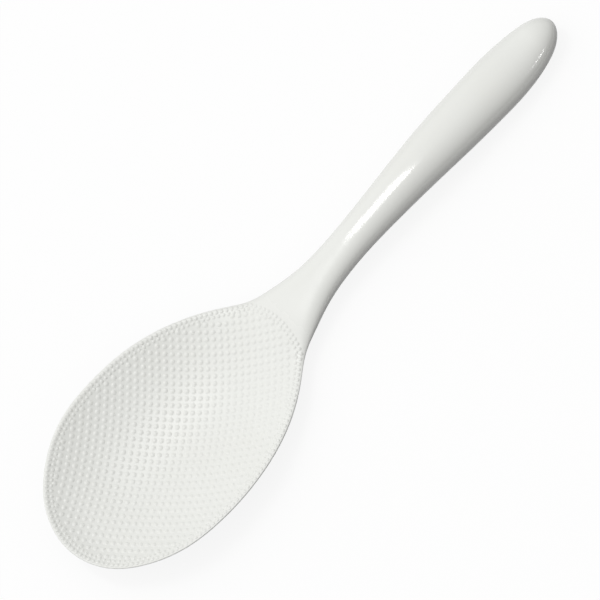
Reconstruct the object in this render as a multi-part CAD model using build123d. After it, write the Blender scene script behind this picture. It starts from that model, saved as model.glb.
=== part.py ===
from build123d import *
import math
import os

# A rice paddle lying face up: tip at -X, handle towards +X, underside on Z = 0.
# A station is the distance from the blade's tip, measured along the paddle.

# Sizes seen from above
length = 230.0
blade_width = 70.0
neck_width = 13.4
handle_width = 20.0

# Heights and thicknesses
dish_depth = 10.0
blade_wall = 2.3
lip_thickness = 1.5
lip_round = 1.4
neck_thickness = 7.8
handle_thickness = 13.0
handle_end_round = 9.0
tip_rise = 10.85
neck_rise = 3.75
rest_flat_depth = 0.25
end_flat = 0.05

# Hollow handle and its back cover
shell_wall = 2.0
cover_start = 134.0
cover_margin = 1.5
cover_gap = 0.12
ledge_width = 1.2
seat_gap = 0.05
boss_radius = 2.5
peg_radius = 1.2
peg_clearance = 0.1
peg_engagement = 3.5
peg_end_gap = 0.5
rib_thickness = 1.2
rib_foot_gap = 1.0

# One length that carries every cut past the solid it trims
overrun = 30.0

# Shares of the blade's, the neck's and the handle's half width, by share of the length
blade_width_shares = [(0.0, 0.0), (0.0167, 0.420), (0.050, 0.681), (0.117, 0.932), (0.184, 1.0),
                      (0.251, 0.975), (0.318, 0.853), (0.385, 0.602), (0.418, 0.433), (0.452, 0.328)]
neck_width_shares = [(0.485, 1.35), (0.552, 1.01)]
handle_width_shares = [(0.652, 0.735), (0.720, 0.84), (0.787, 0.94), (0.854, 0.99), (0.887, 1.0),
                       (0.920, 0.955), (0.954, 0.825), (0.987, 0.505), (1.0, 0.0)]

# How far the rim stands above the middle of the dish, in shares of its depth
depth_shares = [(0.0, 0.0), (0.026, 0.365), (0.061, 0.66), (0.104, 0.885), (0.157, 0.995),
                (0.209, 0.985), (0.261, 0.905), (0.304, 0.76), (0.348, 0.54), (0.391, 0.305),
                (0.430, 0.105), (0.470, 0.025), (0.540, 0.0), (1.0, 0.0)]

# Rise of the underside, in shares of the tip's rise and then of the neck's
tip_rise_shares = [(0.0, 1.0), (0.026, 0.68), (0.061, 0.44), (0.104, 0.24), (0.157, 0.092),
                   (0.209, 0.018), (0.261, 0.0)]
neck_rise_shares = [(0.304, 0.04), (0.348, 0.19), (0.391, 0.37), (0.430, 0.59), (0.470, 0.75),
                    (0.540, 0.96), (0.587, 1.0), (0.652, 0.90), (0.720, 0.69), (0.787, 0.38),
                    (0.835, 0.13), (0.883, 0.0), (0.922, 0.04), (0.952, 0.21), (1.0, 0.72)]

# Thickness on the centre line, in shares of the blade's wall, the neck and the handle
wall_shares = [(0.0, 0.65), (0.026, 0.83), (0.061, 0.93), (0.104, 1.0), (0.209, 1.0), (0.261, 1.0),
               (0.304, 1.07), (0.348, 1.39)]
neck_thickness_shares = [(0.391, 0.60), (0.430, 0.78), (0.470, 0.88), (0.540, 1.0)]
handle_thickness_shares = [(0.587, 0.68), (0.652, 0.80), (0.720, 0.93), (0.787, 1.0), (0.854, 1.02),
                           (0.900, 0.97), (0.952, 0.82), (1.0, 0.66)]

# Where the section goes over from a thin dish to a round grip
lip_fade_shares = (0.33, 0.48)
round_grip_shares = (0.34, 0.48)
flat_neck_shares = (0.35, 0.47)
flat_neck_end_shares = (0.47, 0.65)

# How much flatter the oval of the neck, and then of the handle, is than an ellipse
flat_neck_share = 0.5
flat_handle_share = 0.1

# How far the cover's seat lies under the middle of the grip, as a share of its half thickness
seat_height_share = 0.25

# Pegs and ribs, in shares of the way from the cover's start to the handle's end
peg_place_shares = (0.16, 0.47, 0.78)
rib_place_shares = (0.315, 0.625)

# The form is made of narrow strips between sections, most of them where it bends most. Each pair
# is the share of the length where a run of strips ends, and how many strips the run has.
strip_shares = [(0.04, 8), (0.33, 16), (0.50, 20), (0.90, 22), (1.0, 12)]

# Counts of the points along one side of a section, of the sections of the hollow and the points
# along one side of each, and of the points along the cover
section_steps = 24
hollow_count = 12
hollow_steps = 6
cover_steps = 12


def smooth_curve(knots):
    """Return the natural cubic curve through (place, value) knots."""
    places = [place for place, _ in knots]
    values = [value for _, value in knots]
    last = len(knots) - 1
    gaps = [places[i + 1] - places[i] for i in range(last)]
    slopes = [(values[i + 1] - values[i]) / gaps[i] for i in range(last)]
    carry = [0.0] * (last + 1)
    bends = [0.0] * (last + 1)
    for i in range(1, last):
        pivot = 2 * (gaps[i - 1] + gaps[i]) - gaps[i - 1] * carry[i - 1]
        carry[i] = gaps[i] / pivot
        bends[i] = (6 * (slopes[i] - slopes[i - 1]) - gaps[i - 1] * bends[i - 1]) / pivot
    for i in range(last - 1, 0, -1):
        bends[i] -= carry[i] * bends[i + 1]

    def value_at(place):
        i = max(k for k in range(last) if k == 0 or place >= places[k])
        after = (place - places[i]) / gaps[i]
        before = 1 - after
        bend = (before**3 - before) * bends[i] + (after**3 - after) * bends[i + 1]
        return before * values[i] + after * values[i + 1] + bend * gaps[i] ** 2 / 6

    return value_at


def scaled(shares, size):
    """Turn (place, share of a size) pairs into (place, length) pairs."""
    return [(place, share * size) for place, share in shares]


def ease(place, shares):
    """Go smoothly from 0 to 1 between two places."""
    way = min(1.0, max(0.0, (place - shares[0]) / (shares[1] - shares[0])))
    return way**3 * (10 - 15 * way + 6 * way**2)


# Half widths are joined by their squares, which rounds the outline at both ends
half_width_knots = (scaled(blade_width_shares, blade_width / 2) + scaled(neck_width_shares, neck_width / 2)
                    + scaled(handle_width_shares, handle_width / 2))
square_width_curve = smooth_curve([(place, half**2) for place, half in half_width_knots])
depth_curve = smooth_curve(scaled(depth_shares, dish_depth))
rise_curve = smooth_curve(scaled(tip_rise_shares, tip_rise) + scaled(neck_rise_shares, neck_rise))
thickness_curve = smooth_curve(scaled(wall_shares, blade_wall)
                               + scaled(neck_thickness_shares, neck_thickness)
                               + scaled(handle_thickness_shares, handle_thickness))


def half_width(station):
    return math.sqrt(max(0.0, square_width_curve(station / length)))


def thickness_at(station):
    """Thickness on the centre line, closing as a quarter round at the handle's end."""
    left = min(1.0, max(0.0, (length - station) / handle_end_round))
    return thickness_curve(station / length) * math.sqrt(1 - (1 - left) ** 2)


def middle_height(station):
    """Height of the middle of the wall, or of the grip, on the centre line."""
    return rise_curve(station / length) + thickness_curve(station / length) / 2 - rest_flat_depth


def section_points(station, inset, point_steps):
    """Points along the upper and the lower side of a cross-section, drawn in all round by the inset."""
    place = station / length
    half = half_width(station) - inset
    thickness = thickness_at(station) - 2 * inset
    depth = depth_curve(place)
    side = middle_height(station) + depth
    lip = lip_thickness * (1 - ease(place, lip_fade_shares))
    lip_power = max(2.0, half / lip_round)
    roundness = 1 - ease(place, round_grip_shares) / 2
    flatness = 2 * (1 + flat_neck_share * ease(place, flat_neck_shares)
                    - (flat_neck_share - flat_handle_share) * ease(place, flat_neck_end_shares))
    above = []
    below = []
    for step in range(point_steps + 1):
        across = math.cos(math.pi * step / point_steps)
        crown = max(0.0, 1 - abs(across) ** flatness) ** roundness
        lip_form = math.sqrt(max(0.0, 1 - abs(across) ** lip_power))
        wall = lip / 2 * lip_form + (thickness - lip) / 2 * crown
        middle = Vector(station - length / 2, across * half, side - depth * crown)
        above.append(middle + Vector(0, 0, wall))
        below.append(middle - Vector(0, 0, wall))
    return above, below


def outer_section(station):
    """Cross-section of the whole form: an upper and a lower curve that meet at the sides."""
    steps = [float(step) for step in range(section_steps + 1)]
    sides = section_points(station, 0, section_steps)
    return Face(Wire([Edge.make_spline(points, parameters=steps) for points in sides]))


def outer_stations():
    """Stations of the outer sections, closest together at the tip and at the handle's end."""
    places = [0.0]
    for finish, count in strip_shares:
        start = places[-1]
        for k in range(1, count + 1):
            way = k / count
            if start == 0:
                way = way**2
            if finish == 1:
                way = 1 - (1 - way) ** 2
            places.append(start + (finish - start) * way)
    return [end_flat + place * (length - 2 * end_flat) for place in places]


def hollow_section(station):
    """Cross-section of the space in the handle: flats between points one wall inside the form."""
    above, below = section_points(station, shell_wall, hollow_steps)
    return Face(Wire.make_polygon(above + below[-2:0:-1], close=True))


def cover_outline(inset):
    """Outline of the cover seen from above: the handle's own outline, moved in by the inset."""
    side = []
    for step in range(cover_steps + 1):
        station = cover_start + (length - cover_start) * math.sin(math.pi / 2 * step / cover_steps)
        half = half_width(station)
        growth = half_width(station + end_flat) ** 2 - half_width(station - end_flat) ** 2
        slope = growth / (2 * end_flat) / 2
        reach = math.hypot(slope, half)
        side.append((station - length / 2 + inset * slope / reach, half - inset * half / reach))
    other_side = [(x, -y) for x, y in reversed(side[:-1])]
    neck_end = (side[0][0] - side[0][1], 0)
    outline = Spline(side + other_side)
    return make_face([outline, ThreePointArc(other_side[-1], neck_end, side[0])])


def upright(face):
    """A prism on a plan face, longer than the paddle is high."""
    return extrude(Pos(0, 0, -overrun) * face, amount=2 * overrun)


def seat_height(station):
    """Height of the ledge that the cover seats on."""
    return middle_height(station) - seat_height_share * thickness_curve(station / length) / 2


def below_seat(drop):
    """Everything under the seat, lowered by the drop."""
    reach = length - cover_start + 2 * overrun
    stations = [cover_start - overrun + reach * k / cover_steps for k in range(cover_steps + 1)]
    seat = [(station - length / 2, 0, seat_height(min(station, length)) - drop) for station in stations]
    line = Spline(seat)
    low_end = (seat[-1][0], 0, -overrun)
    low_start = (seat[0][0], 0, -overrun)
    face = make_face([line, Polyline(seat[-1], low_end, low_start, seat[0])])
    return extrude(face, amount=overrun, dir=(0, 1, 0), both=True)


def upright_pin(station, radius, low, high):
    return Pos(station - length / 2, 0, (low + high) / 2) * Cylinder(radius, high - low)


def along_cover(share):
    return cover_start + share * (length - cover_start)


def paddle_form():
    """The whole outside, with a flat under the blade and under the handle to rest on."""
    form = loft([outer_section(station) for station in outer_stations()], ruled=True)
    floor = Pos(0, 0, -overrun / 2) * Box(length + overrun, blade_width + overrun, overrun)
    return form - floor


def handle_hollow():
    """The space inside the handle: the form drawn in by the wall, within the ledge."""
    start = cover_start - neck_width / 2
    ways = [k / hollow_count for k in range(hollow_count + 1)]
    stations = [start + (length - shell_wall - start) * way**2 * (3 - 2 * way) for way in ways]
    inside = loft([hollow_section(station) for station in stations])
    return inside & upright(cover_outline(cover_margin + ledge_width))


def paddle_body(form, hollow):
    """Blade, neck and front of the handle: one moulding, open at the back of the handle."""
    pocket = upright(cover_outline(cover_margin)) & below_seat(0)
    body = form - pocket - hollow
    for share in rib_place_shares:
        station = along_cover(share)
        slab = Pos(station - length / 2, 0, 0) * Box(rib_thickness, handle_width, 2 * overrun)
        body += (hollow & slab) - below_seat(-rib_foot_gap)
    for share in peg_place_shares:
        station = along_cover(share)
        seat = seat_height(station)
        roof = middle_height(station) + (thickness_at(station) - shell_wall) / 2
        body += upright_pin(station, boss_radius, seat, roof)
        body -= upright_pin(station, peg_radius + peg_clearance, seat, seat + peg_engagement + peg_end_gap)
    return body


def handle_back_cover(form, hollow):
    """The cover let in flush at the back of the handle, with pegs for the bosses of the body."""
    cover = (form & upright(cover_outline(cover_margin + cover_gap)) & below_seat(seat_gap)) - hollow
    for share in peg_place_shares:
        station = along_cover(share)
        seat = seat_height(station)
        base = middle_height(station) - (thickness_at(station) - shell_wall) / 2
        cover += upright_pin(station, boss_radius, base, seat - seat_gap)
        cover += upright_pin(station, peg_radius, base, seat + peg_engagement)
    return cover


os.makedirs("parts", exist_ok=True)
outside = paddle_form()
inside_of_handle = handle_hollow()
pieces = {"paddle_body": paddle_body(outside, inside_of_handle),
          "handle_back_cover": handle_back_cover(outside, inside_of_handle)}
for name, piece in pieces.items():
    piece.label = name
    export_step(piece, f"parts/{name}.step")
    print(name, "volume", round(piece.volume), "solids", len(piece.solids()))
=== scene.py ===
# %% [markdown]
# # A rice paddle in off-white plastic
# A rice paddle is a shallow dish on a slim neck and a plump, arched handle. Blade, neck and the
# front of the handle are one moulding, and a cover closes the hollow handle at the back. Small
# nubs keep cooked rice from sticking to the dish.
#
# The construction model has every size and place, in metres, with the blade's tip at -X, the end
# of the handle at +X and the table at Z = 0. It is loaded first, because the pieces made here
# have to lie on it.

import math

import bpy
import bmesh
import numpy as np
from mathutils import Matrix, Vector


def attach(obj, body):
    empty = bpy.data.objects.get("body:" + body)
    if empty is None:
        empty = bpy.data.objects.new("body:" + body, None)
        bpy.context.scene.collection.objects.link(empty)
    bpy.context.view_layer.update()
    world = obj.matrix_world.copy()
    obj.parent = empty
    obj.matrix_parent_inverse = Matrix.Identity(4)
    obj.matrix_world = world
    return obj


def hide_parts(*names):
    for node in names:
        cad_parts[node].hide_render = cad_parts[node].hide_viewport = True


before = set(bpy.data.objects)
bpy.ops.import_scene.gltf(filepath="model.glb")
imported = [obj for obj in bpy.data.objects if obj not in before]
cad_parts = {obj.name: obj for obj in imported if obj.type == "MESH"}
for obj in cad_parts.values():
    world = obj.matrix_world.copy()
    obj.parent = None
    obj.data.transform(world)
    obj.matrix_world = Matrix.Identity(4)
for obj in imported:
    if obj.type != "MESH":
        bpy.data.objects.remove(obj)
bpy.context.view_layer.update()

# %% [markdown]
# ## The rule of the form
# Such a paddle has hardly a straight line, so it could be sculpted by hand. A rule is easier to
# check and to change. A station is the distance from the blade's tip, and a share is a part of
# the whole length, or of a size such as the blade's width. Smooth curves through a few shares
# give the half width, the depth of the dish, the rise and the thickness at every station. They
# are the sizes of the construction model, so the skin made here lies on it.

# %% Sizes and shares of the form
MM = 0.001
length = 230 * MM
blade_width = 70 * MM
neck_width = 13.4 * MM
handle_width = 20 * MM
dish_depth = 10 * MM
blade_wall = 2.3 * MM
lip_thickness = 1.5 * MM
lip_round = 1.4 * MM
neck_thickness = 7.8 * MM
handle_thickness = 13 * MM
handle_end_round = 9 * MM
tip_rise = 10.85 * MM
neck_rise = 3.75 * MM
rest_flat_depth = 0.25 * MM

blade_width_shares = [(0.0, 0.0), (0.0167, 0.420), (0.050, 0.681), (0.117, 0.932), (0.184, 1.0),
                      (0.251, 0.975), (0.318, 0.853), (0.385, 0.602), (0.418, 0.433), (0.452, 0.328)]
neck_width_shares = [(0.485, 1.35), (0.552, 1.01)]
handle_width_shares = [(0.652, 0.735), (0.720, 0.84), (0.787, 0.94), (0.854, 0.99), (0.887, 1.0),
                       (0.920, 0.955), (0.954, 0.825), (0.987, 0.505), (1.0, 0.0)]
depth_shares = [(0.0, 0.0), (0.026, 0.365), (0.061, 0.66), (0.104, 0.885), (0.157, 0.995),
                (0.209, 0.985), (0.261, 0.905), (0.304, 0.76), (0.348, 0.54), (0.391, 0.305),
                (0.430, 0.105), (0.470, 0.025), (0.540, 0.0), (1.0, 0.0)]
tip_rise_shares = [(0.0, 1.0), (0.026, 0.68), (0.061, 0.44), (0.104, 0.24), (0.157, 0.092),
                   (0.209, 0.018), (0.261, 0.0)]
neck_rise_shares = [(0.304, 0.04), (0.348, 0.19), (0.391, 0.37), (0.430, 0.59), (0.470, 0.75),
                    (0.540, 0.96), (0.587, 1.0), (0.652, 0.90), (0.720, 0.69), (0.787, 0.38),
                    (0.835, 0.13), (0.883, 0.0), (0.922, 0.04), (0.952, 0.21), (1.0, 0.72)]
wall_shares = [(0.0, 0.65), (0.026, 0.83), (0.061, 0.93), (0.104, 1.0), (0.209, 1.0), (0.261, 1.0),
               (0.304, 1.07), (0.348, 1.39)]
neck_thickness_shares = [(0.391, 0.60), (0.430, 0.78), (0.470, 0.88), (0.540, 1.0)]
handle_thickness_shares = [(0.587, 0.68), (0.652, 0.80), (0.720, 0.93), (0.787, 1.0), (0.854, 1.02),
                           (0.900, 0.97), (0.952, 0.82), (1.0, 0.66)]
lip_fade_shares = (0.33, 0.48)
round_grip_shares = (0.34, 0.48)
flat_neck_shares = (0.35, 0.47)
flat_neck_end_shares = (0.47, 0.65)
flat_neck_share = 0.5
flat_handle_share = 0.1


# %% Smooth curves through the shares
def smooth_curve(*tables):
    """The natural cubic curve through tables of (shares, size) pairs, as a function of the place."""
    places = np.array([place for shares, _ in tables for place, _ in shares])
    values = np.array([share * size for shares, size in tables for _, share in shares])
    gaps = np.diff(places)
    slopes = np.diff(values) / gaps
    matrix = np.eye(len(places))
    bends = np.zeros(len(places))
    for i in range(1, len(places) - 1):
        matrix[i, i - 1:i + 2] = gaps[i - 1], 2 * (gaps[i - 1] + gaps[i]), gaps[i]
        bends[i] = 6 * (slopes[i] - slopes[i - 1])
    bends = np.linalg.solve(matrix, bends)

    def value_at(place):
        i = np.clip(np.searchsorted(places, place, side="right") - 1, 0, len(gaps) - 1)
        after = (place - places[i]) / gaps[i]
        before = 1 - after
        bend = (before**3 - before) * bends[i] + (after**3 - after) * bends[i + 1]
        return before * values[i] + after * values[i + 1] + bend * gaps[i] ** 2 / 6

    return value_at


def ease(place, shares):
    """Go smoothly from 0 to 1 between two places."""
    way = np.clip((place - shares[0]) / (shares[1] - shares[0]), 0, 1)
    return way**3 * (10 - 15 * way + 6 * way**2)


def squared(shares, size):
    """A table of squares of half widths, whose curve gives round ends where it reaches 0."""
    return [(place, (share * size / 2) ** 2) for place, share in shares], 1


square_width_curve = smooth_curve(squared(blade_width_shares, blade_width),
                                  squared(neck_width_shares, neck_width),
                                  squared(handle_width_shares, handle_width))
depth_curve = smooth_curve((depth_shares, dish_depth))
rise_curve = smooth_curve((tip_rise_shares, tip_rise), (neck_rise_shares, neck_rise))
thickness_curve = smooth_curve((wall_shares, blade_wall), (neck_thickness_shares, neck_thickness),
                               (handle_thickness_shares, handle_thickness))


def half_width(station):
    return np.sqrt(np.maximum(0, square_width_curve(station / length)))


def middle_height(station):
    """Height of the middle of the wall, or of the grip, on the centre line."""
    return rise_curve(station / length) + thickness_curve(station / length) / 2 - rest_flat_depth


checked_stations = np.linspace(0, length, 1001)
print("widest half", round(half_width(checked_stations).max() / MM, 2), "mm")

# %% [markdown]
# ## Nodes written as sums
# A node tree could be built one node and one link at a time, but it is easier to read as sums.
# One small class wraps a socket, and Python's operators on it add the Math nodes. Every other
# node comes from its one method, which takes the node's type, its settings, and the values or
# links of its sockets.

# %% A socket that Python can count with
class Wire:
    """One output of a node. Operators on it add Math nodes to its tree."""

    def __init__(self, socket):
        self.socket = socket
        self.tree = socket.id_data

    @classmethod
    def node(cls, tree, kind, settings=None, sockets=None):
        """Add any node: its settings first, then the values or links of its sockets."""
        new = tree.nodes.new(kind)
        for name, value in (settings or {}).items():
            setattr(new, name, value)
        for key, value in (sockets or {}).items():
            named = [s for s in new.inputs if s.enabled and s.name == key]
            target = named[0] if named else new.inputs[key]
            if isinstance(value, cls):
                tree.links.new(value.socket, target)
            else:
                target.default_value = value
        return cls(next(s for s in new.outputs if s.enabled)) if len(new.outputs) else new

    def output(self, name):
        return Wire(next(s for s in self.socket.node.outputs if s.enabled and s.name == name))

    def maths(self, operation, *values):
        sockets = dict(enumerate((self,) + values))
        return Wire.node(self.tree, "ShaderNodeMath", {"operation": operation}, sockets)

    def __add__(self, other):
        return self.maths("ADD", other)

    def __radd__(self, other):
        return self.maths("ADD", other)

    def __sub__(self, other):
        return self.maths("SUBTRACT", other)

    def __rsub__(self, other):
        return (self * -1).maths("ADD", other)

    def __mul__(self, other):
        return self.maths("MULTIPLY", other)

    def __rmul__(self, other):
        return self.maths("MULTIPLY", other)

    def __truediv__(self, other):
        return self.maths("DIVIDE", other)

    def __rtruediv__(self, other):
        return (self**-1) * other

    def __pow__(self, other):
        return self.maths("POWER", other)


def parts_of(vector):
    """The X, Y and Z of a vector wire."""
    split = Wire.node(vector.tree, "ShaderNodeSeparateXYZ", None, {0: vector})
    return [split.output(axis) for axis in "XYZ"]


def joined(x, y, z):
    """A vector wire of three parts, of which at least one is a wire."""
    tree = next(part.tree for part in (x, y, z) if isinstance(part, Wire))
    return Wire.node(tree, "ShaderNodeCombineXYZ", None, {"X": x, "Y": y, "Z": z})


# %% [markdown]
# ## Geometry Nodes, run once
# A Geometry Nodes modifier could stay live on its object. Here each tree has named inputs, is run
# once on a carrier object, and its result is kept as a plain mesh, which any other program reads.

# %% Helpers for Geometry Nodes
SOCKET_TYPES = {float: "NodeSocketFloat", int: "NodeSocketInt", bpy.types.Object: "NodeSocketObject",
                bpy.types.Material: "NodeSocketMaterial"}


def new_tree(name, **inputs):
    """An empty Geometry Nodes tree with a geometry input and the named inputs after it."""
    tree = bpy.data.node_groups.new(name, "GeometryNodeTree")
    tree.interface.new_socket("Geometry", in_out="INPUT", socket_type="NodeSocketGeometry")
    for label, kind in inputs.items():
        tree.interface.new_socket(label, in_out="INPUT", socket_type=SOCKET_TYPES[kind])
    tree.interface.new_socket("Geometry", in_out="OUTPUT", socket_type="NodeSocketGeometry")
    entry = tree.nodes.new("NodeGroupInput")
    return tree, {socket.name: Wire(socket) for socket in entry.outputs if socket.name}


def finish_tree(tree, geometry, material):
    """End a tree in Realize Instances and Set Material."""
    real = Wire.node(tree, "GeometryNodeRealizeInstances", None, {"Geometry": geometry})
    painted = Wire.node(tree, "GeometryNodeSetMaterial", None, {"Geometry": real, "Material": material})
    exit_node = tree.nodes.new("NodeGroupOutput")
    tree.links.new(painted.socket, exit_node.inputs["Geometry"])


def new_object(name, mesh):
    made = bpy.data.objects.new(name, mesh)
    bpy.context.scene.collection.objects.link(made)
    return made


def run_tree(name, carrier, tree, **values):
    """Run a tree on a carrier object once and return its result as a plain mesh object."""
    modifier = carrier.modifiers.new(tree.name, "NODES")
    modifier.node_group = tree
    for item in tree.interface.items_tree:
        if item.in_out == "INPUT" and item.name in values:
            modifier[item.identifier] = values[item.name]
    ready = carrier.evaluated_get(bpy.context.evaluated_depsgraph_get())
    mesh = bpy.data.meshes.new_from_object(ready)
    mesh.name = name
    carrier.modifiers.remove(modifier)
    return new_object(name, mesh)


def remove(*objects):
    for one in objects:
        bpy.data.objects.remove(one)


# %% [markdown]
# ## Plastic
# The real paddle is one off-white plastic. The mould's polish makes the handle glossy, while the
# blade is a little duller. One flat colour and one roughness would be quicker, but such plastic
# is never quite even: faint clouds of tone run through it, and handling leaves the gloss uneven.
# Noise on the object's own coordinates gives both, and a smooth ramp along X joins the two
# finishes without an edge.

# %% Off-white plastic
plastic_colour = (0.855, 0.862, 0.828)
warm_cloud_colour = (0.830, 0.832, 0.790)
cloud_scale = 38.0
cloud_detail = 3.0
cloud_start = 0.45
cloud_gain = 1.6
blade_roughness = 0.34
handle_roughness = 0.13
gloss_start = 92 * MM - length / 2
gloss_end = 120 * MM - length / 2
wear_scale = 260.0
wear_detail = 4.0
wear_reach = 0.08
skin_scale = 900.0
skin_detail = 2.0
skin_strength = 0.05
skin_relief = 0.05 * MM
plastic_ior = 1.5


def new_plastic(name):
    material = bpy.data.materials.new(name)
    material.use_nodes = True
    tree = material.node_tree
    tree.nodes.clear()
    place = Wire.node(tree, "ShaderNodeTexCoord").output("Object")
    along = parts_of(place)[0]
    clouds = Wire.node(tree, "ShaderNodeTexNoise", None,
                       {"Vector": place, "Scale": cloud_scale, "Detail": cloud_detail})
    cloud_share = ((clouds - cloud_start) * cloud_gain).maths("MAXIMUM", 0.0).maths("MINIMUM", 1.0)
    colour = Wire.node(tree, "ShaderNodeMix", {"data_type": "RGBA"},
                       {"Factor": cloud_share, "A": (*plastic_colour, 1), "B": (*warm_cloud_colour, 1)})
    wear = Wire.node(tree, "ShaderNodeTexNoise", None,
                     {"Vector": place, "Scale": wear_scale, "Detail": wear_detail})
    polish = Wire.node(tree, "ShaderNodeMapRange", {"interpolation_type": "SMOOTHSTEP"},
                       {"Value": along, "From Min": gloss_start, "From Max": gloss_end,
                        "To Min": blade_roughness, "To Max": handle_roughness})
    roughness = polish + (wear - 0.5) * wear_reach
    skin_noise = Wire.node(tree, "ShaderNodeTexNoise", None,
                           {"Vector": place, "Scale": skin_scale, "Detail": skin_detail})
    bump = Wire.node(tree, "ShaderNodeBump", None,
                     {"Height": skin_noise, "Strength": skin_strength, "Distance": skin_relief})
    shader = Wire.node(tree, "ShaderNodeBsdfPrincipled", None,
                       {"Base Color": colour, "Roughness": roughness, "Normal": bump,
                        "IOR": plastic_ior})
    Wire.node(tree, "ShaderNodeOutputMaterial", None, {"Surface": shader})
    return material


plastic = new_plastic("off_white_plastic")
cover_plastic = new_plastic("cover_plastic")
print("plastic nodes", len(plastic.node_tree.nodes))

# %% [markdown]
# ## The paddle's skin
# The real form is cut into a mould as one flowing surface. It could be a subdivided cage pulled
# into shape, but then it would only nearly meet the construction model. Here the same rule shapes
# a flat grid: one direction of the grid becomes the stations along the paddle, and the other runs
# once round each cross-section. A line of points, the spine, carries the values of the curves at
# each station, and the tree reads them by row.

# %% The spine, with the form's values at each station
station_count = 301
share_step = 1e-4


def mesh_of(name, points, edges=(), faces=()):
    mesh = bpy.data.meshes.new(name)
    mesh.from_pydata([tuple(point) for point in points], list(edges), list(faces))
    return mesh


def make_spine():
    """Stations that lie closer at both ends, with three vectors of values on each."""
    ways = np.linspace(0, 1, station_count)
    places = ways**2 * (3 - 2 * ways)
    stations = places * length
    squares = np.maximum(0, square_width_curve(places))
    before, after = places - share_step, np.minimum(1, places + share_step)
    growth = (square_width_curve(after) - square_width_curve(before)) / ((after - before) * length)
    left = np.clip((length - stations) / handle_end_round, 0, 1)
    thickness = thickness_curve(places) * np.sqrt(1 - (1 - left) ** 2)
    depth = depth_curve(places)
    side = middle_height(stations) + depth
    lip = np.minimum(thickness, lip_thickness * (1 - ease(places, lip_fade_shares)))
    roundness = 1 - ease(places, round_grip_shares) / 2
    flatness = 2 * (1 + flat_neck_share * ease(places, flat_neck_shares)
                    - (flat_neck_share - flat_handle_share) * ease(places, flat_neck_end_shares))
    mesh = mesh_of("spine", [(station - length / 2, 0, 0) for station in stations],
                   [(i, i + 1) for i in range(station_count - 1)])
    for name, columns in (("plan", (squares, growth, depth)), ("wall", (side, thickness, lip)),
                          ("form", (roundness, flatness, stations - length / 2))):
        values = np.stack(columns, axis=1).astype(np.float32)
        mesh.attributes.new(name, "FLOAT_VECTOR", "POINT").data.foreach_set("vector", values.ravel())
    return new_object("spine", mesh)


spine = make_spine()
print("spine stations", len(spine.data.vertices))

# %% [markdown]
# The dish is a power of the distance from the middle, and the wall closes in a round lip at the
# rim. The tree also stores how far each point lies inside the nubbed area, under the name
# "border". That area ends at the lip, and at an arc before the neck. Nearer to the tip the arc
# doesn't count, so a distance far larger than the blade is added to it there. The least square
# keeps the division away from 0 on the centre line, where the blade is widest.

# %% The tree that shapes the skin
round_count = 129
seam_share = 0.001
lip_margin = 0.3 * MM
arc_place = 72 * MM - length / 2
arc_radius = 29 * MM
arc_start_share = 0.5
far_off = 1.0
least_square = 1e-12
weld_distance = 0.001 * MM


def skin_tree():
    tree, given = new_tree("Paddle skin", Stations=int, Around=int, Lip_round=float, Lip_margin=float,
                           Arc_place=float, Arc_radius=float, Arc_start_share=float,
                           Material=bpy.types.Material)
    grid = Wire.node(tree, "GeometryNodeMeshGrid", None,
                     {"Size X": 1.0, "Size Y": 1.0, "Vertices X": given["Stations"],
                      "Vertices Y": given["Around"]})
    along, around, _ = parts_of(Wire.node(tree, "GeometryNodeInputPosition"))
    row = ((along + 0.5) * (given["Stations"] - 1)).maths("ROUND")

    def station_values(name):
        named = Wire.node(tree, "GeometryNodeInputNamedAttribute", {"data_type": "FLOAT_VECTOR"},
                          {"Name": name})
        return parts_of(Wire.node(tree, "GeometryNodeSampleIndex", {"data_type": "FLOAT_VECTOR"},
                                  {"Geometry": given["Geometry"], "Value": named, "Index": row}))

    square, growth, depth = station_values("plan")
    side, thickness, lip = station_values("wall")
    roundness, flatness, x = station_values("form")
    turn = (around + 0.5) * math.tau
    across = turn.maths("COSINE")
    y = across * square.maths("SQRT")
    crown = (1 - across.maths("ABSOLUTE") ** flatness).maths("MAXIMUM", 0.0) ** roundness
    to_rim = (square - y * y) / (growth * growth + 4 * y * y + least_square).maths("SQRT")
    lip_way = 1 - (to_rim / given["Lip_round"]).maths("MINIMUM", 1.0)
    lip_form = (1 - lip_way * lip_way).maths("MAXIMUM", 0.0).maths("SQRT")
    wall = lip / 2 * lip_form + (thickness - lip) / 2 * crown
    rise = turn.maths("SINE")
    face = rise.maths("GREATER_THAN", seam_share) - rise.maths("LESS_THAN", -seam_share)
    height = (side - depth * crown + wall * face).maths("MAXIMUM", 0.0)
    from_arc = x - given["Arc_place"]
    to_arc = given["Arc_radius"] - (from_arc * from_arc + y * y).maths("SQRT")
    before_arc = (from_arc / given["Arc_radius"]).maths("LESS_THAN", given["Arc_start_share"])
    border = (to_rim - given["Lip_margin"]).maths("MINIMUM", to_arc + before_arc * far_off)
    stored = Wire.node(tree, "GeometryNodeStoreNamedAttribute", {"data_type": "FLOAT"},
                       {"Geometry": grid, "Name": "border", "Value": border})
    shaped = Wire.node(tree, "GeometryNodeSetPosition", None,
                       {"Geometry": stored, "Position": joined(x, y, height)})
    closed = Wire.node(tree, "GeometryNodeMergeByDistance", None,
                       {"Geometry": shaped, "Distance": weld_distance})
    smooth = Wire.node(tree, "GeometryNodeSetShadeSmooth", None, {"Geometry": closed})
    finish_tree(tree, smooth, given["Material"])
    return tree


skin = run_tree("paddle_skin", spine, skin_tree(), Stations=station_count, Around=round_count,
                Lip_round=lip_round, Lip_margin=lip_margin, Arc_place=arc_place, Arc_radius=arc_radius,
                Arc_start_share=arc_start_share, Material=plastic)
print("skin vertices", len(skin.data.vertices), "faces", len(skin.data.polygons))


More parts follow.
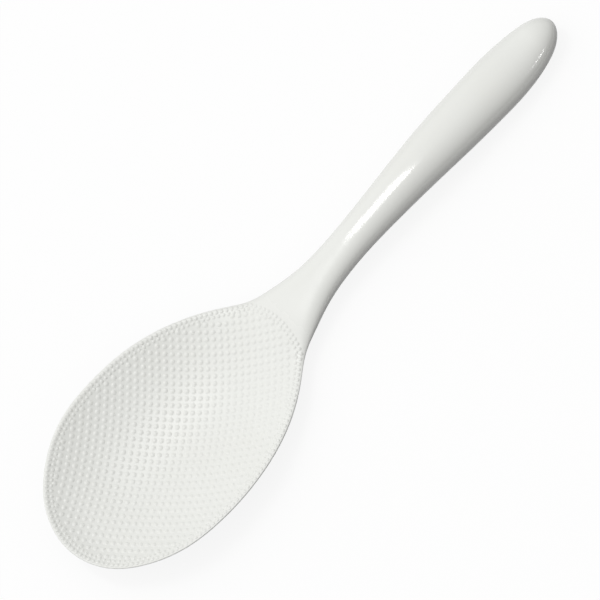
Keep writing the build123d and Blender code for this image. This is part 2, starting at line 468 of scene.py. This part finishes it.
# %% Check that the skin is closed and faces outwards
def measure_closed(mesh):
    """Turn faces outwards and return the count of open edges and the volume in cubic millimetres."""
    shape = bmesh.new()
    shape.from_mesh(mesh)
    bmesh.ops.recalc_face_normals(shape, faces=shape.faces)
    volume = shape.calc_volume(signed=True)
    if volume < 0:
        bmesh.ops.reverse_faces(shape, faces=shape.faces)
    open_edges = sum(not edge.is_manifold for edge in shape.edges)
    shape.to_mesh(mesh)
    shape.free()
    return open_edges, abs(volume) / MM**3


print("open edges and volume of the skin", measure_closed(skin.data))

# %% [markdown]
# ## Nubs
# Cooked rice sticks to a flat face but not to small domes, so the mould has a pit for each nub.
# A bump in the material could fake them, but it would be missing from the mesh and from the
# blade's outline. So each nub is one small dome of a few dozen faces. A tree lays out the points
# in plan, drops them on the skin with a ray, and puts a dome on each, upright on the surface.

# %% One dome
field_nub_radius = 0.92 * MM
field_nub_height = 0.25 * MM
rim_nub_radius = 0.64 * MM
rim_nub_height = 0.22 * MM
nub_sides = 10
nub_profile_shares = [(1.15, -0.25), (1.00, 0.07), (0.78, 0.42), (0.52, 0.76), (0.25, 0.95)]


def make_dome(name, radius, height):
    """A closed dome: rings from a sunk foot to the top, a flat foot and a fan over the top ring."""
    points = []
    for reach, rise in nub_profile_shares:
        for k in range(nub_sides):
            turn = math.tau * k / nub_sides
            points.append((reach * radius * math.cos(turn), reach * radius * math.sin(turn),
                           rise * height))
    points.append((0, 0, height))
    faces = [tuple(reversed(range(nub_sides)))]
    for ring in range(len(nub_profile_shares) - 1):
        for k in range(nub_sides):
            a, b = ring * nub_sides + k, ring * nub_sides + (k + 1) % nub_sides
            faces.append((a, b, b + nub_sides, a + nub_sides))
    first = len(points) - 1 - nub_sides
    faces += [(first + k, first + (k + 1) % nub_sides, len(points) - 1) for k in range(nub_sides)]
    mesh = mesh_of(name, points, faces=faces)
    mesh.polygons.foreach_set("use_smooth", [True] * len(mesh.polygons))
    return new_object(name, mesh)


field_nub = make_dome("field_nub", field_nub_radius, field_nub_height)
rim_nub = make_dome("rim_nub", rim_nub_radius, rim_nub_height)
print("faces of one nub", len(field_nub.data.polygons))

# %% [markdown]
# A ray that misses the skin moves its point to the middle of the paddle, where the tests below
# are made once more. The middle lies in the neck, far outside the nubbed area, so the test of the
# border drops such a point.

# %% The part of the trees that stands a nub on the skin
ray_start = 100 * MM
ray_length = 200 * MM


def stand_nubs(tree, points, skin_geometry, side, keep, nub, least_border, least_height):
    """Drop the points on the skin and put a nub on each one that is kept.

    The side is 1 for rays from above and -1 for rays from below.
    """
    x, y, _ = parts_of(Wire.node(tree, "GeometryNodeInputPosition"))
    border = Wire.node(tree, "GeometryNodeInputNamedAttribute", {"data_type": "FLOAT"},
                       {"Name": "border"})
    hit = Wire.node(tree, "GeometryNodeRaycast", {"data_type": "FLOAT"},
                    {"Target Geometry": skin_geometry, "Attribute": border,
                     "Source Position": joined(x, y, side * ray_start),
                     "Ray Direction": joined(0.0, 0.0, side * -1), "Ray Length": ray_length})
    place = hit.output("Hit Position")
    on_skin = hit.maths("GREATER_THAN", 0.5)
    inside = hit.output("Attribute").maths("GREATER_THAN", least_border)
    high = parts_of(place)[2].maths("GREATER_THAN", least_height)
    dropped = Wire.node(tree, "GeometryNodeSetPosition", None, {"Geometry": points, "Position": place})
    upright = Wire.node(tree, "FunctionNodeAlignRotationToVector", {"axis": "Z"},
                        {"Vector": hit.output("Hit Normal")})
    shape = Wire.node(tree, "GeometryNodeObjectInfo", None, {"Object": nub}).output("Geometry")
    return Wire.node(tree, "GeometryNodeInstanceOnPoints", None,
                     {"Points": dropped, "Selection": on_skin * inside * high * keep,
                      "Instance": shape, "Rotation": upright})


# %% [markdown]
# ## The field of nubs
# Over most of the blade the nubs stand in a square lattice, turned nearly halfway between the
# blade's length and its width, and bent a little, as if round a far centre beside the paddle.
# Both faces of the blade carry it. An Array modifier could repeat the nubs, but it couldn't bend
# the rows and drop each nub on a hollow face. On the back, the low stretch that the paddle lies
# on stays bare.

# %% The tree for the field of nubs
field_pitch = 2.4 * MM
field_rows = 43
field_turn = math.radians(46.85)
bend_radius = 353.4 * MM
bend_place = 98.3 * MM - length / 2
field_shift = (-48.18 * MM, -0.02 * MM)
field_margin = 3.0 * MM
bare_height = 0.4 * MM


def field_tree():
    tree, given = new_tree("Field nubs", Nub=bpy.types.Object, Side=float, Pitch=float, Rows=int,
                           Turn=float, Shift_X=float, Shift_Y=float, Bend_radius=float,
                           Bend_place=float, Least_border=float, Least_height=float,
                           Material=bpy.types.Material)
    reach = given["Pitch"] * (given["Rows"] - 1)
    grid = Wire.node(tree, "GeometryNodeMeshGrid", None,
                     {"Size X": reach, "Size Y": reach, "Vertices X": given["Rows"],
                      "Vertices Y": given["Rows"]})
    u, v, _ = parts_of(Wire.node(tree, "GeometryNodeInputPosition"))
    cosine, sine = given["Turn"].maths("COSINE"), given["Turn"].maths("SINE")
    radius = given["Bend_radius"]
    swing = (u * cosine - v * sine + given["Shift_X"]) / radius
    reach_out = radius - (u * sine + v * cosine + given["Shift_Y"])
    x = reach_out * swing.maths("SINE")
    y = radius - reach_out * swing.maths("COSINE")
    place = joined(x + given["Bend_place"], y, 0.0)
    lattice = Wire.node(tree, "GeometryNodeSetPosition", None, {"Geometry": grid, "Position": place})
    nubs = stand_nubs(tree, lattice, given["Geometry"], given["Side"], 1.0, given["Nub"],
                      given["Least_border"], given["Least_height"])
    finish_tree(tree, nubs, given["Material"])
    return tree


field = field_tree()


def field_nubs(name, side, least_height):
    return run_tree(name, skin, field, Nub=field_nub, Side=side, Pitch=field_pitch, Rows=field_rows,
                    Turn=field_turn, Shift_X=field_shift[0], Shift_Y=field_shift[1],
                    Bend_radius=bend_radius, Bend_place=bend_place, Least_border=field_margin,
                    Least_height=least_height, Material=plastic)


nubs_on_face = field_nubs("nubs_on_face", 1.0, 0.0)
nubs_on_back = field_nubs("nubs_on_back", -1.0, bare_height)
for nubs in (nubs_on_face, nubs_on_back):
    print(nubs.name, len(nubs.data.polygons) // len(field_nub.data.polygons))

# %% [markdown]
# ## The border rows
# Two staggered rows of finer nubs frame the field on the face. They follow the edge of the blade
# and close along the arc before the neck. They could be placed one by one, but a curve that is
# divided evenly keeps their spacing the same all round. The path is worked out square to the
# edge, from the same curves as the skin, and every second point of it gets a nub. The other row
# takes the points in between.

# %% A plan point inside the edge
slope_step = 0.02 * MM


def inside_edge(station, inset):
    """The plan point that lies the inset inside the edge, square to it, from a station."""
    before, after = max(0.0, station - slope_step), min(length, station + slope_step)
    half = half_width(station)
    slope = (half_width(after) ** 2 - half_width(before) ** 2) / (after - before) / 2
    reach = math.hypot(slope, half)
    return station - length / 2 + inset * slope / reach, half - inset * half / reach


print("edge point at the middle", [round(v / MM, 2) for v in inside_edge(length / 2, 0.0)], "mm")

# %% The border's path, a distance inside the edge of the nubbed area
edge_steps = 400
arc_steps = 24


def border_path(inset):
    """Plan points from the tip round one side, along the arc at the neck, and back to the tip."""
    arc_end = arc_place + length / 2 + arc_radius
    arc_start = arc_place + arc_start_share * arc_radius
    side = []
    for k in range(edge_steps):
        x, y = inside_edge(arc_end * (k / (edge_steps - 1)) ** 2, lip_margin + inset)
        if x > arc_start and math.hypot(x - arc_place, y) > arc_radius - inset:
            break
        side.append((x, max(0.0, y), 0.0))
    turn = math.atan2(side[-1][1], side[-1][0] - arc_place)
    turns = [turn * (1 - k / arc_steps) for k in range(1, arc_steps + 1)]
    arc = [(arc_place + (arc_radius - inset) * math.cos(t), (arc_radius - inset) * math.sin(t), 0.0)
           for t in turns]
    half_way = side + arc
    return half_way + [(x, -y, z) for x, y, z in reversed(half_way[:-1])]


# %% The tree for a row of border nubs
rim_pitch = 1.76 * MM
rim_insets = (0.95 * MM, 2.35 * MM)
row_least_border = -2 * MM


def row_tree():
    tree, given = new_tree("Border row", Nub=bpy.types.Object, Skin=bpy.types.Object, Side=float,
                           Count=int, Odd=int, Least_border=float, Least_height=float,
                           Material=bpy.types.Material)
    line = Wire.node(tree, "GeometryNodeMeshToCurve", None, {"Mesh": given["Geometry"]})
    even = Wire.node(tree, "GeometryNodeResampleCurve", {"mode": "COUNT"},
                     {"Curve": line, "Count": given["Count"] * 2 + 1})
    index = Wire.node(tree, "GeometryNodeInputIndex")
    in_turn = (index + given["Odd"]).maths("MODULO", 2.0).maths("LESS_THAN", 0.5)
    keep = in_turn * index.maths("GREATER_THAN", 0.5)
    skin_geometry = Wire.node(tree, "GeometryNodeObjectInfo", None,
                              {"Object": given["Skin"]}).output("Geometry")
    nubs = stand_nubs(tree, even, skin_geometry, given["Side"], keep, given["Nub"],
                      given["Least_border"], given["Least_height"])
    finish_tree(tree, nubs, given["Material"])
    return tree


row = row_tree()


def border_nubs(name):
    """Both rows of the border, joined into one piece."""
    rows = []
    for odd, inset in enumerate(rim_insets):
        path = border_path(inset)
        line = new_object("border_line", mesh_of("border_line", path,
                                                 [(i, i + 1) for i in range(len(path) - 1)]))
        around = sum(math.dist(a, b) for a, b in zip(path, path[1:]))
        rows.append(run_tree(f"{name}_{odd}", line, row, Nub=rim_nub, Skin=skin, Side=1.0,
                             Count=round(around / rim_pitch), Odd=odd,
                             Least_border=row_least_border, Least_height=0.0, Material=plastic))
        remove(line)
    shape = bmesh.new()
    for one in rows:
        shape.from_mesh(one.data)
    mesh = bpy.data.meshes.new(name)
    shape.to_mesh(mesh)
    shape.free()
    mesh.materials.append(plastic)
    remove(*rows)
    return new_object(name, mesh)


rim_nubs_on_face = border_nubs("rim_nubs_on_face")
print(rim_nubs_on_face.name, len(rim_nubs_on_face.data.polygons) // len(rim_nub.data.polygons))

# %% [markdown]
# ## Back cover
# A plump handle isn't moulded solid, because thick plastic sinks as it cools. It is a hollow
# shell, closed at the back by a cover that lies flush in a shallow pocket. The cover could be
# modelled by itself and fitted, but then its surface would have to be matched to the handle's.
# Here both are cut out of the same skin with an upright prism, so they are flush by themselves,
# and the gap between a larger and a smaller prism is the fine seam.

# %% The prism over the cover's outline
cover_start = 134 * MM
cover_margin = 1.5 * MM
cover_gap = 0.12 * MM
seat_gap = 0.05 * MM
seat_height_share = 0.25
cover_side_steps = 48
cover_round_steps = 12
prism_foot = -5 * MM


def cover_side(inset):
    """Plan points along one side of the cover, from its round neck end to the handle's end."""
    side = []
    for k in range(cover_side_steps + 1):
        way = math.sin(math.pi / 2 * k / cover_side_steps)
        side.append(inside_edge(cover_start + (length - cover_start) * way, inset))
    middle, radius = side[0]
    turns = [math.pi / 2 * k / cover_round_steps for k in range(cover_round_steps)]
    return [(middle - radius * math.cos(turn), radius * math.sin(turn)) for turn in turns] + side


def cover_prism(inset, drop):
    """Everything upright under the seat, within the cover's outline."""
    side = cover_side(inset)
    points = []
    for x, y in side:
        station = min(x + length / 2, length)
        seat = middle_height(station) - seat_height_share * thickness_curve(station / length) / 2 - drop
        points += [(x, y, prism_foot), (x, -y, prism_foot), (x, -y, seat), (x, y, seat)]
    faces = [(0, 1, 2, 3)]
    for k in range(len(side) - 1):
        for a, b in ((0, 1), (1, 2), (2, 3), (3, 0)):
            faces.append((4 * k + a, 4 * k + 4 + a, 4 * k + 4 + b, 4 * k + b))
    last = 4 * len(side) - 4
    faces.append((last + 3, last + 2, last + 1, last))
    mesh = mesh_of("cover_prism", points, faces=faces)
    shape = bmesh.new()
    shape.from_mesh(mesh)
    bmesh.ops.remove_doubles(shape, verts=shape.verts, dist=weld_distance)
    bmesh.ops.recalc_face_normals(shape, faces=shape.faces)
    shape.to_mesh(mesh)
    shape.free()
    mesh.materials.append(plastic)
    return new_object("cover_prism", mesh)


pocket = cover_prism(cover_margin, 0.0)
plug = cover_prism(cover_margin + cover_gap, seat_gap)
print("points of the pocket and the plug", len(pocket.data.vertices), len(plug.data.vertices))

# %% Cut the moulding and the cover out of the skin
sharp_angle = math.radians(40)


def cut(name, base, tool, operation):
    """The base with a Boolean of the tool, as a plain mesh with soft and sharp edges."""
    modifier = base.modifiers.new("cut", "BOOLEAN")
    modifier.operation = operation
    modifier.object = tool
    modifier.solver = "EXACT"
    mesh = bpy.data.meshes.new_from_object(base.evaluated_get(bpy.context.evaluated_depsgraph_get()))
    mesh.name = name
    base.modifiers.remove(modifier)
    mesh.polygons.foreach_set("use_smooth", [True] * len(mesh.polygons))
    mesh.set_sharp_from_angle(angle=sharp_angle)
    return new_object(name, mesh)


paddle = cut("paddle_moulding", skin, pocket, "DIFFERENCE")
cover = cut("back_cover", skin, plug, "INTERSECT")
cover.data.materials.clear()
cover.data.materials.append(cover_plastic)
remove(pocket, plug)
for piece in (paddle, cover):
    print(piece.name, "faces", len(piece.data.polygons), "open edges, volume", measure_closed(piece.data))

# %% [markdown]
# ## Floor
# The paddle lies face up on a pale floor. A floor lit up to white would need lamps that bleach
# the paddle too. Instead, the floor mostly glows by itself for the camera and in reflections, and
# the rest of it takes light and keeps the paddle's shadow. To all other rays it is dark grey, so
# that it throws little light up on the paddle.

# %% Floor
floor_reach = 3.0
floor_shade = (0.06, 0.06, 0.06)
floor_white = (0.97, 0.97, 0.97)
floor_glow_share = 0.88


def make_floor():
    corners = [(-floor_reach, -floor_reach, 0), (floor_reach, -floor_reach, 0),
               (floor_reach, floor_reach, 0), (-floor_reach, floor_reach, 0)]
    made = new_object("floor", mesh_of("floor", corners, faces=[(0, 1, 2, 3)]))
    material = bpy.data.materials.new("pale_floor")
    material.use_nodes = True
    tree = material.node_tree
    tree.nodes.clear()
    ray = Wire.node(tree, "ShaderNodeLightPath")
    seen_share = (ray.output("Is Camera Ray") + ray.output("Is Glossy Ray")
                  + ray.output("Is Transmission Ray")).maths("MINIMUM", 1.0)
    colour = Wire.node(tree, "ShaderNodeMix", {"data_type": "RGBA"},
                       {"Factor": seen_share, "A": (*floor_shade, 1), "B": (*floor_white, 1)})
    matt = Wire.node(tree, "ShaderNodeBsdfDiffuse", None, {"Color": colour})
    glow = Wire.node(tree, "ShaderNodeEmission", None, {"Color": (1, 1, 1, 1), "Strength": 1.0})
    mixed = Wire.node(tree, "ShaderNodeMixShader", None,
                      {0: seen_share * floor_glow_share, 1: matt, 2: glow})
    Wire.node(tree, "ShaderNodeOutputMaterial", None, {"Surface": mixed})
    made.data.materials.append(material)
    return made


floor = make_floor()
print("floor", floor.name)

# %% [markdown]
# ## Lamps and studio
# Glossy plastic shows what stands round it, so the lights are placed by their mirror images. A
# long narrow lamp high over the far side gives the streak from the neck into the handle. A small
# weak one low at the near side gives the faint highlight by the handle's end. The rest of the
# light comes from the world, a studio that is brighter high up at the far left and dark low down
# at the near right, which shades the handle's near edge.

# %% Lamps
def turned_to(out, over):
    """A rotation whose Z goes against the way out, and whose Y is as near as can be to over."""
    back = -Vector(out).normalized()
    aside = Vector(over).cross(back).normalized()
    return Matrix((aside, back.cross(aside), back)).transposed().to_4x4()


def make_lamp(name, place, target, over, width, depth, power):
    """An oval lamp, whose depth lies along the way over."""
    data = bpy.data.lights.new(name, "AREA")
    data.shape = "ELLIPSE"
    data.size = width
    data.size_y = depth
    data.energy = power
    lamp = new_object(name, data)
    lamp.matrix_world = Matrix.Translation(place) @ turned_to(Vector(target) - Vector(place), over)
    return lamp


make_lamp("strip_lamp", place=(-0.045, 0.28, 0.94), target=(0.035, 0, 0),
          over=(0.116, -0.473, 0.153), width=0.13, depth=0.48, power=1.7)
make_lamp("end_lamp", place=(0.475, -0.775, 0.56), target=(0.1065, -0.0055, 0.01),
          over=(1, 0.4, 0), width=0.06, depth=0.06, power=0.28)
print("lamps", [light.name for light in bpy.data.lights])

# %% World
studio_dark = (0.025, 0.016, 0.010)
studio_white = (1, 1, 1)


def make_world(base, lobe, lobe_way, light_turn, high_share, dark_end, light_start):
    """A studio that is dark low down at the near side and brighter towards the lobe's way."""
    world = bpy.data.worlds.new("studio")
    bpy.context.scene.world = world
    world.use_nodes = True
    tree = world.node_tree
    tree.nodes.clear()
    direction = Wire.node(tree, "ShaderNodeTexCoord").output("Generated")
    x, y, z = parts_of(direction)
    lit_share = Wire.node(tree, "ShaderNodeMapRange", None,
                          {"Value": y * math.cos(light_turn) - x * math.sin(light_turn) + z * high_share,
                           "From Min": dark_end, "From Max": light_start})
    colour = Wire.node(tree, "ShaderNodeMix", {"data_type": "RGBA"},
                       {"Factor": lit_share, "A": (*studio_dark, 1), "B": (*studio_white, 1)})
    towards = x * lobe_way[0] + y * lobe_way[1] + z * lobe_way[2]
    strength = towards.maths("MAXIMUM", 0.0) ** 3 * lobe + base
    shade = Wire.node(tree, "ShaderNodeBackground", None, {"Color": colour, "Strength": strength})
    Wire.node(tree, "ShaderNodeOutputWorld", None, {"Surface": shade})
    return world


studio = make_world(base=0.57, lobe=0.70, lobe_way=(-0.34, 0.52, 0.78), light_turn=math.radians(44),
                    high_share=0.7, dark_end=-0.78, light_start=-0.25)
print("world nodes", len(studio.node_tree.nodes))

# %% [markdown]
# ## Camera
# The paddle is seen from above the near side, from far off, and lies across the picture from the
# lower left to the upper right. The camera could be moved by eye until the picture fits. Here it
# is worked out instead, from the way it looks, how far it is rolled, how many pixels a millimetre
# takes, and the pixel on which one point of the paddle has to fall.

# %% Camera
camera_tilt = math.radians(29.195)
camera_yaw = math.radians(0.515)
camera_roll = math.radians(47.956)
camera_distance = 1302.1 * MM
pixels_per_mm = 3.113
photo_pixels = 600
aimed_point = Vector((0, 0, 7 * MM))
aimed_pixel = (312.165, 286.238)
sensor_width = 36


def make_camera():
    look = Vector((math.sin(camera_yaw), math.sin(camera_tilt) * math.cos(camera_yaw),
                   -math.cos(camera_tilt) * math.cos(camera_yaw))).normalized()
    along = (Vector((1, 0, 0)) - look * look.x).normalized()
    over = (-look).cross(along)
    right = math.cos(camera_roll) * along - math.sin(camera_roll) * over
    up = math.sin(camera_roll) * along + math.cos(camera_roll) * over
    middle = photo_pixels / 2
    aside, above = middle - aimed_pixel[0], aimed_pixel[1] - middle
    target = aimed_point + MM / pixels_per_mm * (right * aside + up * above)
    data = bpy.data.cameras.new("camera")
    data.sensor_width = sensor_width
    data.lens = data.sensor_width * camera_distance / (photo_pixels / pixels_per_mm * MM)
    made = new_object("camera", data)
    turned = Matrix((right, up, -look)).transposed().to_4x4()
    made.matrix_world = Matrix.Translation(target - look * camera_distance) @ turned
    bpy.context.scene.camera = made
    return made


camera = make_camera()
bpy.context.scene.view_settings.view_transform = "Standard"
print("lens", round(camera.data.lens, 1), "mm")

# %% [markdown]
# ## Hand over
# Nothing on the paddle moves, so every piece rides on the one body. The moulding and the cover
# stand in for the two solids of the construction model, and the nubs go with the moulding. What
# only helped to make them is removed first.

# %% Hand the pieces over to the frame
remove(spine, skin, field_nub, rim_nub)
pieces = {"paddle_body": [paddle, nubs_on_face, nubs_on_back, rim_nubs_on_face],
          "handle_back_cover": [cover]}
for node, made in pieces.items():
    for piece in made:
        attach(piece, "root")
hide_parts("paddle_body")
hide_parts("handle_back_cover")
